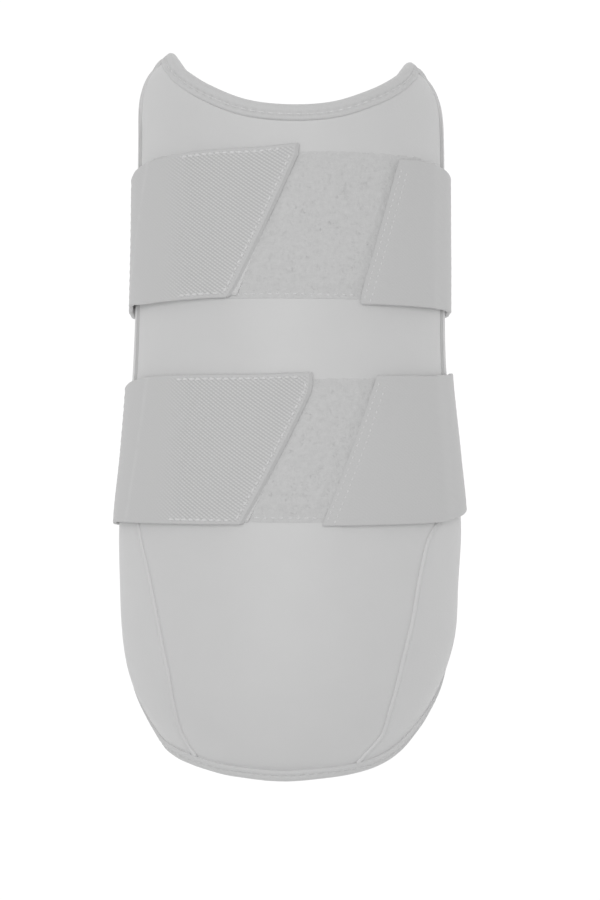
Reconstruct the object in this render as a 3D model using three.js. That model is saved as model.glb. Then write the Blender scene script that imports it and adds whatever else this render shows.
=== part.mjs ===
// A batter's elbow guard: a padded half sleeve with a leather face, a bound edge and two straps
// that go round the arm and close on the face with hook and loop. It lies on the backs of its
// straps with the face up, as it rests on a table when the straps are closed.
// Millimetres. +X is the right of the face, +Y the scooped end that points to the shoulder,
// +Z out of the face. The origin is on the table, under the middle of the guard.

import * as THREE from "three";

// Webbing, loop pile and hook tape
const STRAP_WIDTH = 50;
const STRAP_THICKNESS = 1.5;
const PATCH_THICKNESS = 1.2;
const HOOK_THICKNESS = 1.0;

// Pad, leather panels, binding and piping
const FOAM_THICKNESS = 7;
const FOAM_EDGE_THICKNESS = 3.2;
const FOAM_EDGE_FLAT = 7;
const FOAM_EDGE_SLOPE = 12;
const PANEL_THICKNESS = 2.2;
const BINDING_WIDTH = 4.4;
const BINDING_THICKNESS = 0.9;
const BINDING_GAP = 0.5;
const BINDING_INNER_GAP = 0.9;
const BINDING_FOLD = { inset: 0.3, depth: 1 };
const PIPING_RADIUS = 0.8;
const PIPING_DEPTH = 0.35;
const SEAM_GAP = 0.4;

// Clearance between pieces that lie on each other
const GAP = 0.3;

// Heights over the leather face at which each layer of a closed strap lies
const PATCH_LIFT = GAP;
const SEWN_END_LIFT = PATCH_LIFT + PATCH_THICKNESS + GAP;
const HOOK_LIFT = SEWN_END_LIFT;
const CLOSED_END_LIFT = HOOK_LIFT + HOOK_THICKNESS + GAP;
const SIDE_LIFT = 0.8;
const BACK_LIFT = BINDING_GAP + BINDING_THICKNESS + GAP;

// The form that the face follows, in sections across the arm. An angle of 0 is the middle of the
// face, 90 and -90 are the sides, and 180 is the middle of the back.
const WIDEST_LEVEL = 44;
const BACK_LEVEL = BACK_LIFT + STRAP_THICKNESS;
const BACK_HALF_FLAT = 24;
const BACK_CORNER_END = 160;
const SIDE_EDGE_ANGLE = 115;

// Half-width of the form, height of its crown and sideways shift at stations along the arm
const STATIONS = [
  { y: -126, half: 28.0, crown: 77.0, shift: -1.5 },
  { y: -122, half: 35.6, crown: 81.4, shift: -1.3 },
  { y: -118, half: 40.2, crown: 84.6, shift: -1.3 },
  { y: -112, half: 44.8, crown: 87.4, shift: -1.4 },
  { y: -106, half: 48.7, crown: 89.4, shift: -1.5 },
  { y: -98, half: 53.0, crown: 91.2, shift: -1.4 },
  { y: -88, half: 56.7, crown: 92.8, shift: -0.9 },
  { y: -76, half: 59.0, crown: 94.0, shift: -0.3 },
  { y: -60, half: 59.8, crown: 94.9, shift: -0.3 },
  { y: -38, half: 60.4, crown: 95.5, shift: 0 },
  { y: -14, half: 58.1, crown: 95.5, shift: 0 },
  { y: 18, half: 55.3, crown: 94.8, shift: -0.5 },
  { y: 56, half: 54.5, crown: 92.9, shift: -0.3 },
  { y: 96, half: 54.1, crown: 89.6, shift: -0.4 },
  { y: 109, half: 53.5, crown: 88.2, shift: -0.7 },
  { y: 116, half: 51.1, crown: 87.2, shift: -0.8 },
  { y: 121, half: 46.6, crown: 86.4, shift: -0.8 },
  { y: 126, half: 39.8, crown: 85.5, shift: -0.8 },
];

// The scooped end is cut a little askew: its left ear stands higher than its right
const EAR_LEAN = 1.5;
const LEAN_SPAN = { from: 88, to: 118 };

// The y at which the guard ends, at an angle on each side: a round cup below, cut higher on the
// right, and above it a scoop between two ears
const LOWER_EDGE = [
  { angle: 0, left: -123.6, right: -123.6 },
  { angle: 20, left: -122.9, right: -122.9 },
  { angle: 38, left: -121.8, right: -122.0 },
  { angle: 54, left: -120.0, right: -120.2 },
  { angle: 68, left: -118.4, right: -116.4 },
  { angle: 80, left: -117.0, right: -109.2 },
  { angle: 89, left: -114.2, right: -103.1 },
  { angle: 96, left: -107.5, right: -97.5 },
  { angle: 102, left: -96.5, right: -90.5 },
  { angle: 107, left: -83.7, right: -81.3 },
  { angle: 111, left: -71.3, right: -70.7 },
  { angle: 114, left: -59.5, right: -59.5 },
  { angle: 115, left: -50.0, right: -50.0 },
];
const UPPER_EDGE = [
  { angle: 0, y: 102.5 },
  { angle: 16, y: 104.1 },
  { angle: 32, y: 109.6 },
  { angle: 46, y: 115.6 },
  { angle: 58, y: 120.2 },
  { angle: 68, y: 122.8 },
  { angle: 76, y: 123.6 },
  { angle: 86, y: 123.2 },
  { angle: 96, y: 121.0 },
  { angle: 104, y: 116.6 },
  { angle: 110, y: 109.6 },
  { angle: 113.6, y: 101.0 },
  { angle: 115, y: 91.0 },
];

// The angle of the piped seam between the front panel and each side panel
const SEAM = [
  { y: -126, left: 46.0, right: 35.5 },
  { y: -117, left: 50.0, right: 41.2 },
  { y: -110, left: 50.2, right: 46.2 },
  { y: -101, left: 47.4, right: 44.6 },
  { y: -90, left: 45.9, right: 43.4 },
  { y: -80, left: 47.3, right: 43.5 },
  { y: -66, left: 50.5, right: 46.4 },
  { y: -53, left: 54.5, right: 49.0 },
  { y: -43, left: 58.6, right: 52.0 },
  { y: -37, left: 61.0, right: 57.2 },
  { y: -28, left: 66.5, right: 65.0 },
  { y: -10, left: 73.0, right: 73.0 },
  { y: 20, left: 75.0, right: 75.0 },
  { y: 105, left: 77.0, right: 77.0 },
  { y: 126, left: 77.0, right: 77.0 },
];

// A strap is sewn down on the right of the face at a slanting end, goes round the back and closes
// on the left at another slanting end. x values are where those ends cross the strap's two edges.
const STRAPS = [
  {
    name: "upper",
    y: 61.5,
    sewnEnd: { low: 22.6, high: 36.6 },
    closedEnd: { low: -20.2, high: 1.6 },
    patch: { low: 38.3, high: 87.9 },
  },
  {
    name: "lower",
    y: -12.6,
    sewnEnd: { low: 10.0, high: 30.4 },
    closedEnd: { low: -15.8, high: 6.7 },
    patch: { low: -36.4, high: 11.6 },
  },
];

// How far a strap lies off the form on its way round, and how far each strap wanders up the arm
const STRAP_ROUTE = [
  { angle: 0, lift: SEWN_END_LIFT, upper: 0, lower: 0 },
  { angle: 56, lift: SEWN_END_LIFT, upper: 0, lower: 0.6 },
  { angle: 67, lift: SIDE_LIFT, upper: -0.2, lower: 1.4 },
  { angle: 92, lift: SIDE_LIFT, upper: -1.6, lower: 2.6 },
  { angle: 104, lift: BACK_LIFT, upper: -2.4, lower: 2.2 },
  { angle: 256, lift: BACK_LIFT, upper: -4.0, lower: -2.0 },
  { angle: 268, lift: SIDE_LIFT, upper: -3.0, lower: -1.5 },
  { angle: 277, lift: SIDE_LIFT, upper: -1.2, lower: -0.5 },
  { angle: 292, lift: CLOSED_END_LIFT, upper: 0.7, lower: 0 },
  { angle: 345, lift: CLOSED_END_LIFT, upper: 1.9, lower: 0.3 },
  { angle: 372, lift: CLOSED_END_LIFT, upper: 4.4, lower: 1.1 },
];
const PATCH_ANGLES = { left: -60, right: 55 };
const HOOK_BACK_ANGLES = { low: -65, high: -57 };
const HOOK_PEEK = { low: 1.6, high: -0.6 };
const HOOK_MARGIN = 1;

// Facets
const FRONT_COLUMNS = 18;
const SIDE_COLUMNS = 8;
const SHELL_ROWS = 20;
const ROW_CROWDING = [0.35, 0.25];
const STRAP_COLUMNS = 56;
const STRAP_ROWS = 4;
const SLANT_COLUMNS = 8;
const PATCH_COLUMNS = 18;
const PATCH_ROWS = 3;
const HOOK_COLUMNS = 8;
const EDGE_STEPS = 34;
const SIDE_EDGE_STEPS = 10;
const PIPING_SIDES = 6;
const SETTLING_PASSES = 60;

const LEATHER = { color: 0xcbcbcb, roughness: 0.5, metalness: 0 };
const LINING = { color: 0xc4c4c4, roughness: 0.9, metalness: 0 };
const TAPE = { color: 0xbfbfbf, roughness: 0.8, metalness: 0 };
const WEBBING = { color: 0xbbbbbb, roughness: 0.85, metalness: 0 };
const PILE = { color: 0xbdbdbd, roughness: 1, metalness: 0 };
const HOOKS = { color: 0xc6c6c6, roughness: 0.6, metalness: 0 };

const { lerp, clamp, degToRad, radToDeg, smoothstep } = THREE.MathUtils;

// The rows of a table on each side of a value, and how far between them it lies
function bracket(table, key, at) {
  let i = table.findIndex((row) => row[key] > at) - 1;
  if (i < -1) i = table.length - 2;
  i = clamp(i, 0, table.length - 2);
  const from = table[i][key];
  return { i, share: clamp((at - from) / (table[i + 1][key] - from), 0, 1) };
}

// A column of a table on a smooth curve through its rows
function curve(table, key, column, at) {
  const { i, share } = bracket(table, key, at);
  const slope = (k) => {
    const a = table[Math.max(k - 1, 0)];
    const b = table[Math.min(k + 1, table.length - 1)];
    return (b[column] - a[column]) / (b[key] - a[key]);
  };
  const run = table[i + 1][key] - table[i][key];
  const [a, b] = [table[i][column], table[i + 1][column]];
  const [cubed, squared] = [share ** 3, share ** 2];
  return (
    a * (2 * cubed - 3 * squared + 1) +
    b * (3 * squared - 2 * cubed) +
    run * (slope(i) * (cubed - 2 * squared + share) + slope(i + 1) * (cubed - squared))
  );
}

// A column of a table with a level stretch at each row and an S between rows
function ramp(table, key, column, at) {
  const { i, share } = bracket(table, key, at);
  return lerp(table[i][column], table[i + 1][column], smoothstep(share, 0, 1));
}

// A table over one side of the guard, with its second row repeated across the middle
const mirrored = (table) => [{ ...table[1], angle: -table[1].angle }, ...table];
const LOWER_ROWS = mirrored(LOWER_EDGE);
const UPPER_ROWS = mirrored(UPPER_EDGE);
const sideOf = (angle) => (angle < 0 ? "left" : "right");
const lowerEdge = (angle) => curve(LOWER_ROWS, "angle", sideOf(angle), Math.abs(angle));
const upperEdge = (angle) => curve(UPPER_ROWS, "angle", "y", Math.abs(angle));
const seam = (sign, y) => sign * curve(SEAM, "y", sideOf(sign), y);

// A point of the form: half an ellipse over the face, a rounded corner on each side of the back,
// and a flat back
function formPoint(angle, y) {
  const half = curve(STATIONS, "y", "half", y);
  const turn = THREE.MathUtils.euclideanModulo(angle + 180, 360) - 180;
  const size = Math.abs(turn);
  let x;
  let z;
  if (size <= 90) {
    const crown = curve(STATIONS, "y", "crown", y);
    x = half * Math.sin(degToRad(size));
    z = WIDEST_LEVEL + (crown - WIDEST_LEVEL) * Math.cos(degToRad(size));
  } else if (size <= BACK_CORNER_END) {
    const corner = degToRad((90 * (size - 90)) / (BACK_CORNER_END - 90));
    x = BACK_HALF_FLAT + (half - BACK_HALF_FLAT) * Math.cos(corner);
    z = WIDEST_LEVEL - (WIDEST_LEVEL - BACK_LEVEL) * Math.sin(corner);
  } else {
    x = (BACK_HALF_FLAT * (180 - size)) / (180 - BACK_CORNER_END);
    z = BACK_LEVEL;
  }
  const across = Math.sign(turn) * x;
  const lean = (EAR_LEAN * smoothstep(y, LEAN_SPAN.from, LEAN_SPAN.to) * across) / half;
  return new THREE.Vector3(across + curve(STATIONS, "y", "shift", y), y - lean, z);
}

// The directions round the arm, along it and out of the form at a point
function formFrame(angle, y) {
  const step = 0.05;
  const round = formPoint(angle + step, y).sub(formPoint(angle - step, y)).divideScalar(2 * step);
  const along = formPoint(angle, y + step).sub(formPoint(angle, y - step)).divideScalar(2 * step);
  const out = new THREE.Vector3().crossVectors(round, along).normalize();
  return { round, along, out };
}

// A point that lies off the form by a lift, inside it where the lift is negative
function lifted(angle, y, lift) {
  return formPoint(angle, y).addScaledVector(formFrame(angle, y).out, lift);
}

// The angle on the face at which the form reaches an x
function angleAtX(x, y) {
  const half = curve(STATIONS, "y", "half", y);
  return radToDeg(Math.asin(clamp(x / half, -1, 1)));
}

// A closed wall between two surfaces, each a function of two shares across and up. Its facets
// are split so that the two sides of the guard mirror each other.
function wallGeometry(columns, rows, outer, inner) {
  const positions = [];
  const index = [];
  const at = (face, i, j) => (face * (columns + 1) + i) * (rows + 1) + j;
  [outer, inner].forEach((surface) => {
    for (let i = 0; i <= columns; i++) {
      for (let j = 0; j <= rows; j++) {
        positions.push(...surface(i / columns, j / rows).toArray());
      }
    }
  });
  const quad = (a, b, c, d) => {
    const onRight = positions[3 * a] + positions[3 * c] > 0;
    index.push(...(onRight ? [a, b, d, b, c, d] : [a, b, c, a, c, d]));
  };
  for (let i = 0; i < columns; i++) {
    for (let j = 0; j < rows; j++) {
      quad(at(0, i, j), at(0, i + 1, j), at(0, i + 1, j + 1), at(0, i, j + 1));
      quad(at(1, i, j), at(1, i, j + 1), at(1, i + 1, j + 1), at(1, i + 1, j));
    }
    quad(at(1, i, 0), at(1, i + 1, 0), at(0, i + 1, 0), at(0, i, 0));
    quad(at(0, i, rows), at(0, i + 1, rows), at(1, i + 1, rows), at(1, i, rows));
  }
  for (let j = 0; j < rows; j++) {
    quad(at(0, 0, j), at(0, 0, j + 1), at(1, 0, j + 1), at(1, 0, j));
    quad(at(1, columns, j), at(1, columns, j + 1), at(0, columns, j + 1), at(0, columns, j));
  }
  return indexed(positions, index);
}

// A closed or capped sweep through rings of points that turn the same way round
function sweepGeometry(rings, closed) {
  const sides = rings[0].length;
  const positions = rings.flat().flatMap((point) => point.toArray());
  const index = [];
  const spans = closed ? rings.length : rings.length - 1;
  for (let i = 0; i < spans; i++) {
    const next = (i + 1) % rings.length;
    for (let k = 0; k < sides; k++) {
      const [a, b] = [i * sides + k, i * sides + ((k + 1) % sides)];
      const [c, d] = [next * sides + ((k + 1) % sides), next * sides + k];
      index.push(a, b, c, a, c, d);
    }
  }
  if (!closed) {
    const last = (rings.length - 1) * sides;
    for (let k = 1; k < sides - 1; k++) {
      index.push(0, k + 1, k, last, last + k, last + k + 1);
    }
  }
  return indexed(positions, index);
}

function indexed(positions, index) {
  const geometry = new THREE.BufferGeometry();
  geometry.setAttribute("position", new THREE.Float32BufferAttribute(positions, 3));
  geometry.setIndex(index);
  geometry.computeVertexNormals();
  return geometry;
}

// The angle that leaves room for the piping between a panel and the seam's middle
function seamRoom(sign, y) {
  const step = 0.5;
  const reach = formFrame(seam(sign, y), y).round.length();
  const slant = ((seam(sign, y + step) - seam(sign, y - step)) / (2 * step)) * reach;
  return ((PIPING_RADIUS + SEAM_GAP) * Math.hypot(1, slant)) / reach;
}

// The panels, each a field between two lines that give an angle at every y
const sideLine = (sign) => () => sign * SIDE_EDGE_ANGLE;
const seamLine = (sign) => (y) => seam(sign, y);
const innerSeamLine = (sign) => (y) => seam(sign, y) - sign * seamRoom(sign, y);
const outerSeamLine = (sign) => (y) => seam(sign, y) + sign * seamRoom(sign, y);
const LEFT_FIELD = { from: sideLine(-1), to: outerSeamLine(-1), columns: SIDE_COLUMNS };
const FRONT_FIELD = { from: innerSeamLine(-1), to: innerSeamLine(1), columns: FRONT_COLUMNS };
const RIGHT_FIELD = { from: outerSeamLine(1), to: sideLine(1), columns: SIDE_COLUMNS };

// The angle and y at two shares of a field: across it, and up it from the guard's lower edge to
// its upper edge, with rows crowded towards those edges
function fieldPlace({ from, to }, across, up) {
  const crowded = ROW_CROWDING.reduce((share, weight, k) => {
    const waves = 2 * Math.PI * (k + 1);
    return share - (weight * Math.sin(waves * up)) / waves;
  }, up);
  let y = lerp(lowerEdge(0), upperEdge(0), crowded);
  let angle = 0;
  for (let pass = 0; pass < SETTLING_PASSES; pass++) {
    angle = lerp(from(y), to(y), across);
    y = lerp(y, lerp(lowerEdge(angle), upperEdge(angle), crowded), 0.5);
  }
  return { angle, y };
}

// A leather panel over a field
function panelGeometry(field) {
  const surface = (lift) => (across, up) => {
    const { angle, y } = fieldPlace(field, across, up);
    return lifted(angle, y, lift);
  };
  return wallGeometry(field.columns, SHELL_ROWS, surface(0), surface(-PANEL_THICKNESS));
}

// The distance from a point of the form to the guard's outline
function edgeInset(angle, y) {
  const step = 0.5;
  const reach = formFrame(angle, y).round.length();
  const square = (edge) => {
    const slope = (edge(angle + step) - edge(angle - step)) / (2 * step * reach);
    return Math.abs(y - edge(angle)) / Math.hypot(1, slope);
  };
  const side = (SIDE_EDGE_ANGLE - Math.abs(angle)) * reach;
  return Math.min(square(lowerEdge), square(upperEdge), side);
}

// The foam under the panels: even in the middle and pressed thin along its edge. Its columns are
// the panels' own, so that the facets of foam and leather lie parallel.
function foamGeometry() {
  const lines = [LEFT_FIELD, FRONT_FIELD, RIGHT_FIELD].flatMap((field) =>
    Array.from({ length: field.columns + 1 }, (_, i) => (up) => fieldPlace(field, i / field.columns, up)),
  );
  const columns = lines.length - 1;
  const top = -PANEL_THICKNESS - GAP;
  const outer = (across, up) => {
    const { angle, y } = lines[Math.round(across * columns)](up);
    return lifted(angle, y, top);
  };
  const inner = (across, up) => {
    const { angle, y } = lines[Math.round(across * columns)](up);
    const flatEnd = FOAM_EDGE_FLAT + FOAM_EDGE_SLOPE;
    const fullness = smoothstep(edgeInset(angle, y), FOAM_EDGE_FLAT, flatEnd);
    return lifted(angle, y, top - lerp(FOAM_EDGE_THICKNESS, FOAM_THICKNESS, fullness));
  };
  return wallGeometry(columns, SHELL_ROWS, outer, inner);
}

// The guard's outline as angles and y values, all the way round
function outline() {
  const points = [];
  const sweep = (edge, sign) => {
    for (let k = 0; k < EDGE_STEPS; k++) {
      const share = (2 * k) / EDGE_STEPS - 1;
      const crowded = (share + Math.sin((share * Math.PI) / 2)) / 2;
      const angle = sign * SIDE_EDGE_ANGLE * crowded;
      points.push({ angle, y: edge(angle) });
    }
  };
  const run = (angle, from, to) => {
    for (let k = 0; k < SIDE_EDGE_STEPS; k++) {
      points.push({ angle, y: lerp(from(angle), to(angle), k / SIDE_EDGE_STEPS) });
    }
  };
  sweep(lowerEdge, 1);
  run(SIDE_EDGE_ANGLE, lowerEdge, upperEdge);
  sweep(upperEdge, -1);
  run(-SIDE_EDGE_ANGLE, upperEdge, lowerEdge);
  return points;
}

// The strip folded over the edge of the panels and the foam, stitched through both
function bindingGeometry() {
  const points = outline();
  const [near, far] = [BINDING_GAP, BINDING_GAP + BINDING_THICKNESS];
  const inside = PANEL_THICKNESS + GAP + FOAM_EDGE_THICKNESS + BINDING_INNER_GAP;
  const lining = inside + BINDING_THICKNESS;
  const profile = [
    { inset: BINDING_WIDTH, lift: near },
    { inset: BINDING_WIDTH, lift: far },
    { inset: BINDING_FOLD.inset, lift: far },
    { inset: -far, lift: -BINDING_FOLD.depth },
    { inset: -far, lift: BINDING_FOLD.depth - inside },
    { inset: BINDING_FOLD.inset, lift: -lining },
    { inset: BINDING_WIDTH, lift: -lining },
    { inset: BINDING_WIDTH, lift: -inside },
    { inset: -near, lift: -inside },
    { inset: -near, lift: near },
  ];
  const rings = points.map(({ angle, y }, i) => {
    const before = points[(i + points.length - 1) % points.length];
    const after = points[(i + 1) % points.length];
    const { round, along, out } = formFrame(angle, y);
    const tangent = new THREE.Vector3()
      .addScaledVector(round, after.angle - before.angle)
      .addScaledVector(along, after.y - before.y)
      .normalize();
    const inward = new THREE.Vector3().crossVectors(out, tangent);
    const skew = round.dot(along);
    const det = round.lengthSq() * along.lengthSq() - skew ** 2;
    const [a, b] = [inward.dot(round), inward.dot(along)];
    const turn = (a * along.lengthSq() - b * skew) / det;
    const climb = (b * round.lengthSq() - a * skew) / det;
    return profile.map(({ inset, lift }) => lifted(angle + inset * turn, y + inset * climb, lift));
  });
  return sweepGeometry(rings, true);
}

// The cord in a seam, on the rows of the panels beside it, from the binding below to that above
function pipingGeometry(sign) {
  const line = { from: seamLine(sign), to: seamLine(sign) };
  const rows = Array.from({ length: SHELL_ROWS - 1 }, (_, j) => j + 1);
  const places = rows.map((row) => fieldPlace(line, 0, row / SHELL_ROWS));
  const middles = places.map(({ angle, y }) => lifted(angle, y, -PIPING_DEPTH));
  const rings = places.map(({ angle, y }, i) => {
    const { out } = formFrame(angle, y);
    const [before, after] = [middles[Math.max(i - 1, 0)], middles[Math.min(i + 1, rows.length - 1)]];
    const tangent = after.clone().sub(before).normalize();
    const side = new THREE.Vector3().crossVectors(tangent, out);
    return Array.from({ length: PIPING_SIDES }, (_, s) => {
      const turn = (2 * Math.PI * s) / PIPING_SIDES;
      return middles[i]
        .clone()
        .addScaledVector(side, PIPING_RADIUS * Math.sin(turn))
        .addScaledVector(out, PIPING_RADIUS * Math.cos(turn));
    });
  });
  return sweepGeometry(rings, false);
}

// Angles along the form at equal distances round the arm
function evenAngles(y, from, to, count) {
  const fine = 720;
  const angles = [];
  const reached = [0];
  for (let k = 0; k <= fine; k++) {
    angles.push(lerp(from, to, k / fine));
    if (k > 0) {
      const stretch = formPoint(angles[k], y).distanceTo(formPoint(angles[k - 1], y));
      reached.push(reached[k - 1] + stretch);
    }
  }
  const found = [];
  for (let n = 0; n <= count; n++) {
    const goal = (reached[fine] * n) / count;
    const k = clamp(reached.findIndex((length) => length >= goal), 1, fine);
    const share = (goal - reached[k - 1]) / (reached[k] - reached[k - 1]);
    found.push(lerp(angles[k - 1], angles[k], share));
  }
  return found;
}

// A strap's webbing, all the way round the arm
function strapGeometry(strap) {
  const startAt = (up) => angleAtX(lerp(strap.sewnEnd.low, strap.sewnEnd.high, up), strap.y);
  const endAt = (up) => 360 + angleAtX(lerp(strap.closedEnd.low, strap.closedEnd.high, up), strap.y);
  const columns = evenAngles(strap.y, startAt(0.5), endAt(0.5), STRAP_COLUMNS);
  const surface = (thickness) => (across, up) => {
    const i = Math.round(across * STRAP_COLUMNS);
    const nearStart = clamp(1 - i / SLANT_COLUMNS, 0, 1);
    const nearEnd = clamp(1 - (STRAP_COLUMNS - i) / SLANT_COLUMNS, 0, 1);
    const slant = (startAt(up) - startAt(0.5)) * nearStart + (endAt(up) - endAt(0.5)) * nearEnd;
    const angle = columns[i] + slant;
    const wander = ramp(STRAP_ROUTE, "angle", strap.name, angle);
    const y = strap.y + wander + (up - 0.5) * STRAP_WIDTH;
    return lifted(angle, y, ramp(STRAP_ROUTE, "angle", "lift", angle) + thickness);
  };
  return wallGeometry(STRAP_COLUMNS, STRAP_ROWS, surface(STRAP_THICKNESS), surface(0));
}

// The loop pile sewn to the face under a strap's two ends
function patchGeometry({ patch }) {
  const surface = (lift) => (across, up) => {
    const angle = lerp(PATCH_ANGLES.left, PATCH_ANGLES.right, across);
    return lifted(angle, lerp(patch.low, patch.high, up), lift);
  };
  const [bottom, top] = [surface(PATCH_LIFT), surface(PATCH_LIFT + PATCH_THICKNESS)];
  return wallGeometry(PATCH_COLUMNS, PATCH_ROWS, top, bottom);
}

// The hook tape under a strap's closing end, which peeks out below the slanting edge
function hookGeometry(strap) {
  const surface = (lift) => (across, up) => {
    const end = lerp(strap.closedEnd.low, strap.closedEnd.high, up);
    const front = angleAtX(end + lerp(HOOK_PEEK.low, HOOK_PEEK.high, up), strap.y);
    const back = lerp(HOOK_BACK_ANGLES.low, HOOK_BACK_ANGLES.high, up);
    const angle = lerp(back, front, across);
    const wander = ramp(STRAP_ROUTE, "angle", strap.name, angle + 360);
    const y = strap.y + wander + (up - 0.5) * (STRAP_WIDTH - 2 * HOOK_MARGIN);
    return lifted(angle, y, lift);
  };
  const [bottom, top] = [surface(HOOK_LIFT), surface(HOOK_LIFT + HOOK_THICKNESS)];
  return wallGeometry(HOOK_COLUMNS, STRAP_ROWS, top, bottom);
}

const guard = new THREE.Group();

function addPiece(name, geometry, finish) {
  const mesh = new THREE.Mesh(geometry, new THREE.MeshStandardMaterial(finish));
  mesh.name = name;
  guard.add(mesh);
}

addPiece("foam_pad", foamGeometry(), LINING);
addPiece("front_panel", panelGeometry(FRONT_FIELD), LEATHER);
addPiece("side_panel_left", panelGeometry(LEFT_FIELD), LEATHER);
addPiece("side_panel_right", panelGeometry(RIGHT_FIELD), LEATHER);
addPiece("edge_binding", bindingGeometry(), TAPE);
addPiece("seam_piping_left", pipingGeometry(-1), LEATHER);
addPiece("seam_piping_right", pipingGeometry(1), LEATHER);
STRAPS.forEach((strap) => {
  addPiece(`${strap.name}_loop_patch`, patchGeometry(strap), PILE);
  addPiece(`${strap.name}_hook_tape`, hookGeometry(strap), HOOKS);
  addPiece(`${strap.name}_strap`, strapGeometry(strap), WEBBING);
});

export default guard;
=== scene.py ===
# A batter's elbow guard: leather panels over a foam pad, a bound edge, piped seams, and two webbing
# straps that close on loop pile. Each piece is a surface worked out with numpy on the form that the
# solids follow. Sizes are millimetres and angles are degrees, until a mesh is filled in metres.

import bpy
import numpy as np
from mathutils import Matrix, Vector


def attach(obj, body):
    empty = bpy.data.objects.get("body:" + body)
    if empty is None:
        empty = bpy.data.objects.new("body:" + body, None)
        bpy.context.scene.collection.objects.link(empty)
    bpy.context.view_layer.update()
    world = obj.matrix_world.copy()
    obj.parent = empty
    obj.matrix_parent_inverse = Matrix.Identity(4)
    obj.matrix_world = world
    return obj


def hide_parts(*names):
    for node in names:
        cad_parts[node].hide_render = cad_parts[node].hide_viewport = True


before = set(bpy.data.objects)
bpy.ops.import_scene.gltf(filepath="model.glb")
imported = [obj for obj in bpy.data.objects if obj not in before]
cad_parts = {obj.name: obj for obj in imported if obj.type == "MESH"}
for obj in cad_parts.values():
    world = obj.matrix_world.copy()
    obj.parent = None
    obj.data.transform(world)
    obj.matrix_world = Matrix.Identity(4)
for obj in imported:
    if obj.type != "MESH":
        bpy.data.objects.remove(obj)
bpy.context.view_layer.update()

METRES = 0.001
BODY = "root"


def table(heading, *rows):
    """A table as named columns: each word of the heading with the array of its values."""
    return dict(zip(heading.split(), np.array(rows, float).T))


# Webbing, loop pile and hook tape
STRAP_WIDTH = 50.0
STRAP_THICKNESS = 1.5
STRAP_EDGE_RADIUS = 0.55
PATCH_THICKNESS = 1.2
HOOK_THICKNESS = 1.0
RIB_PITCH = 1.25
RIB_SLOPE = np.tan(np.radians(35))
RIB_HEIGHT = 0.18
RIB_FULLNESS = 0.7
RIB_FADE = {"start": -50.0, "end": -35.0, "least": 0.06}
SELVEDGE = {"start": 0.5, "end": 1.5}

# Pad, leather panels, binding and piping
FOAM_THICKNESS = 7.0
FOAM_EDGE_THICKNESS = 3.2
FOAM_EDGE_FLAT = 7.0
FOAM_EDGE_SLOPE = 12.0
FOAM_SWELL = {"height": 0.25, "turn": 18.0, "length": 16.0}
PANEL_THICKNESS = 2.2
PANEL_ROLL = {"depth": 0.45, "reach": 1.5}
PANEL_TUCK = 0.35
BINDING_WIDTH = 4.4
BINDING_THICKNESS = 0.9
BINDING_GAP = 0.5
BINDING_INNER_GAP = 0.9
BINDING_FOLD = {"inset": 0.3, "depth": 1.0}
BINDING_STEP = 0.6
BINDING_CORNER = 5.0
BINDING_PUCKER = {"depth": 0.6, "reach": 0.8}
BINDING_RIPPLE = {"height": 0.12, "length": 7.0}
PIPING_RADIUS = 0.8
PIPING_DEPTH = 0.35
PIPING_TUCK = 0.8
PIPING_RIPPLE = {"height": 0.05, "length": 4.0}
GAP = 0.3

# Levels along the arm over which painted shade comes onto the seam's cord, and over which it goes again:
# beside the straps, the seam at the guard's sides lies in shade
CORD_PAINTED_SHADE = {"start": (-10.0, 6.0), "end": (96.0, 112.0)}

# Rows of stitches, and the form of one: its rise, how deep it is sunk and how thin it ends, as shares of
# its radius, and how full it is between
BINDING_STITCH = {"pitch": 3.1, "length": 2.4, "radius": 0.22, "inset": 2.2, "lift": 0.1}
STRAP_STITCH = {"pitch": 2.6, "length": 1.6, "radius": 0.48, "inset": 1.5, "start": -40.0}
PATCH_STITCH = {"pitch": 2.8, "length": 1.6, "radius": 0.28, "inset": 1.4}
SEWN_STITCH = {"pitch": 2.2, "length": 1.0, "radius": 0.22, "insets": (0.9, 2.9)}
STITCH_FORM = {"rise": 1.2, "sunk": 0.9, "least": 0.45, "fullness": 0.6}

# Heights over the leather face at which each layer of a closed strap lies
PATCH_LIFT = GAP
PATCH_TOP = PATCH_LIFT + PATCH_THICKNESS
SEWN_END_LIFT = PATCH_TOP + GAP
HOOK_LIFT = SEWN_END_LIFT
CLOSED_END_LIFT = HOOK_LIFT + HOOK_THICKNESS + GAP
SIDE_LIFT = 0.8
BACK_LIFT = BINDING_GAP + BINDING_THICKNESS + GAP

# The form that the face follows. An angle of 0 is the middle of the face, 90 and -90 are the sides,
# and 180 is the middle of the back.
WIDEST_LEVEL = 44.0
BACK_LEVEL = BACK_LIFT + STRAP_THICKNESS
BACK_HALF_FLAT = 24.0
BACK_CORNER_END = 160.0
SIDE_EDGE_ANGLE = 115.0

# Half-width of the form, height of its crown and sideways shift at stations along the arm
STATIONS = table(
    "y half crown shift",
    (-126, 28.0, 77.0, -1.5),
    (-122, 35.6, 81.4, -1.3),
    (-118, 40.2, 84.6, -1.3),
    (-112, 44.8, 87.4, -1.4),
    (-106, 48.7, 89.4, -1.5),
    (-98, 53.0, 91.2, -1.4),
    (-88, 56.7, 92.8, -0.9),
    (-76, 59.0, 94.0, -0.3),
    (-60, 59.8, 94.9, -0.3),
    (-38, 60.4, 95.5, 0),
    (-14, 58.1, 95.5, 0),
    (18, 55.3, 94.8, -0.5),
    (56, 54.5, 92.9, -0.3),
    (96, 54.1, 89.6, -0.4),
    (109, 53.5, 88.2, -0.7),
    (116, 51.1, 87.2, -0.8),
    (121, 46.6, 86.4, -0.8),
    (126, 39.8, 85.5, -0.8),
)

# The scooped end is cut a little askew: its left ear stands higher than its right
EAR_LEAN = 1.5
LEAN_SPAN = (88.0, 118.0)

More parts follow.
